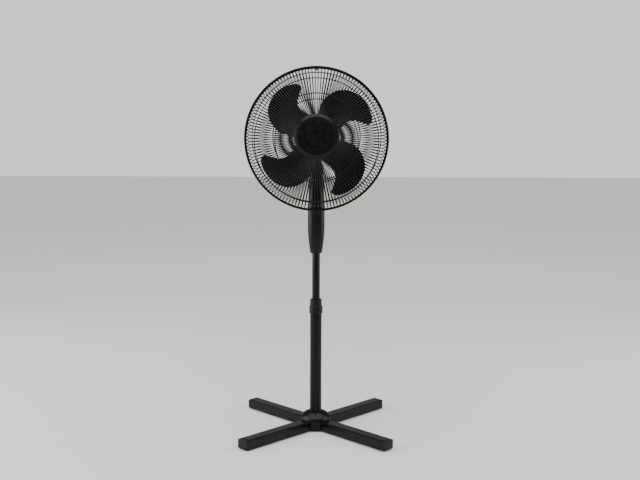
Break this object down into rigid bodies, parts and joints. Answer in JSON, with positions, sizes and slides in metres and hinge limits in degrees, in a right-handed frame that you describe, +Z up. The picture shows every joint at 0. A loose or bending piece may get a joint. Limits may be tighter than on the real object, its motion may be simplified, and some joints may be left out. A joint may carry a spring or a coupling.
{
  "type": "pedestal fan",
  "caption": "Black pedestal fan with a round wire guard, swept blades, a tilting and swinging head, a height-adjustable pole and a crossed-leg base.",
  "frame": {"origin": "on the floor, on the pole's axis, at the middle of the crossed legs", "axes": "+Z up along the pole; the fan blows towards -Y; +X is to the right seen from the front"},
  "size_m": [0.466, 0.466, 1.1461],
  "materials": {
    "frame_paint": "black gloss paint on steel tube",
    "guard_paint": "black dipped coating on steel wire",
    "housing": "black satin moulded plastic",
    "keys": "black polished moulded plastic",
    "blade": "black moulded polypropylene",
    "rubber": "black matt rubber",
    "steel": "zinc-plated steel",
    "laminations": "stamped silicon steel",
    "cast": "die-cast, as cast",
    "copper": "enamelled copper wire",
    "bronze": "sintered bronze",
    "nylon": "natural nylon",
    "moulded_block": "dark grey moulded plastic"
  },
  "bodies": {
    "base": {"lower_rail": "frame_paint", "upper_rail": "frame_paint", "end_cap_rear_right": "housing", "end_cap_rear_left": "housing", "end_cap_front_left": "housing", "end_cap_front_right": "housing", "foot_rear_right": "rubber", "foot_rear_left": "rubber", "foot_front_left": "rubber", "foot_front_right": "rubber", "hub_cover": "housing", "tube_flange": "steel", "base_bolt": "steel", "lower_tube": "frame_paint", "collar": "housing", "collet": "nylon"},
    "lock_nut": {"height_lock_nut": "housing"},
    "mast": {"upper_tube": "frame_paint", "guide_bush": "nylon", "neck_body": "housing", "neck_rear_cover": "housing", "neck_screw_lower": "steel", "neck_screw_upper": "steel", "cord_gland": "rubber", "switch_block": "moulded_block", "run_capacitor": "moulded_block", "tilt_bolt": "steel", "tilt_nut": "steel"},
    "key_0": {"speed_key_0": "keys"},
    "key_1": {"speed_key_1": "keys"},
    "key_2": {"speed_key_2": "keys"},
    "key_3": {"speed_key_3": "keys"},
    "bracket": {"swivel_bracket": "cast"},
    "link": {"crank_link": "steel"},
    "head": {"gearbox_case": "cast", "gearbox_lid": "cast", "motor_front_bell": "cast", "motor_rear_bell": "cast", "stator_core": "laminations", "stator_winding": "copper", "front_bearing": "bronze", "rear_bearing": "bronze", "motor_rear_cover": "housing", "cover_screw": "steel", "motor_front_shield": "housing", "rear_grille": "guard_paint", "grille_nut": "housing", "guard_ring": "housing", "front_grille": "guard_paint", "front_cap": "housing", "top_clip": "housing", "bottom_clip": "housing"},
    "worm_wheel": {"worm_wheel": "nylon"},
    "crank": {"crank_gear": "nylon"},
    "clutch_knob": {"oscillation_knob": "housing"},
    "rotor": {"motor_shaft": "steel", "rotor_core": "laminations", "propeller": "blade", "blade_nut": "housing"}
  },
  "joints": [
    {"name": "height_slide", "type": "slide", "parent": "base", "child": "mast", "axis": [0, 0, 1], "range_m": [-0.115, 0.125]},
    {"name": "lock_nut_turn", "type": "hinge", "parent": "base", "child": "lock_nut", "pos_m": [0, 0, 0.4157], "axis": [0, 0, 1], "range_deg": [0, 120]},
    {"name": "key_0_press", "type": "slide", "parent": "mast", "child": "key_0", "axis": [0, 1, 0], "range_m": [0, 0.0025], "stiffness_N_per_m": 250},
    {"name": "key_1_press", "type": "slide", "parent": "mast", "child": "key_1", "axis": [0, 1, 0], "range_m": [0, 0.0025], "stiffness_N_per_m": 250},
    {"name": "key_2_press", "type": "slide", "parent": "mast", "child": "key_2", "axis": [0, 1, 0], "range_m": [0, 0.0025], "stiffness_N_per_m": 250},
    {"name": "key_3_press", "type": "slide", "parent": "mast", "child": "key_3", "axis": [0, 1, 0], "range_m": [0, 0.0025], "stiffness_N_per_m": 250},
    {"name": "tilt", "type": "hinge", "parent": "mast", "child": "bracket", "pos_m": [0, 0, 0.84], "axis": [-1, 0, 0], "range_deg": [-12, 20]},
    {"name": "oscillation", "type": "hinge", "parent": "bracket", "child": "head", "pos_m": [0, 0.0068, 0.9177], "axis": [0, 0.0872, 0.9962], "range_deg": [-39, 39]},
    {"name": "link_swing", "type": "hinge", "parent": "bracket", "child": "link", "pos_m": [-0.0198, 0.01114, 0.88701], "axis": [0, 0.0872, 0.9962], "range_deg": [-33, 33]},
    {"name": "clutch_pull", "type": "slide", "parent": "head", "child": "clutch_knob", "axis": [0, 0.0872, 0.9962], "range_m": [0, 0.008]},
    {"name": "blade_spin", "type": "hinge", "parent": "head", "child": "rotor", "pos_m": [0, -0.11474, 0.92834], "axis": [0, -0.9962, 0.0872], "continuous": true},
    {"name": "worm_wheel_turn", "type": "hinge", "parent": "head", "child": "worm_wheel", "pos_m": [0.0165, 0.02573, 0.91605], "axis": [0, 0.0872, 0.9962], "continuous": true},
    {"name": "crank_turn", "type": "hinge", "parent": "head", "child": "crank", "pos_m": [0, 0.03787, 0.89993], "axis": [0, 0.0872, 0.9962], "continuous": true}
  ],
  "couplings": [
    {"joint": "link_swing", "follows": "oscillation", "ratio": 0.83},
    {"joint": "worm_wheel_turn", "follows": "blade_spin", "ratio": 0.071429},
    {"joint": "crank_turn", "follows": "blade_spin", "ratio": -0.02381}
  ]
}
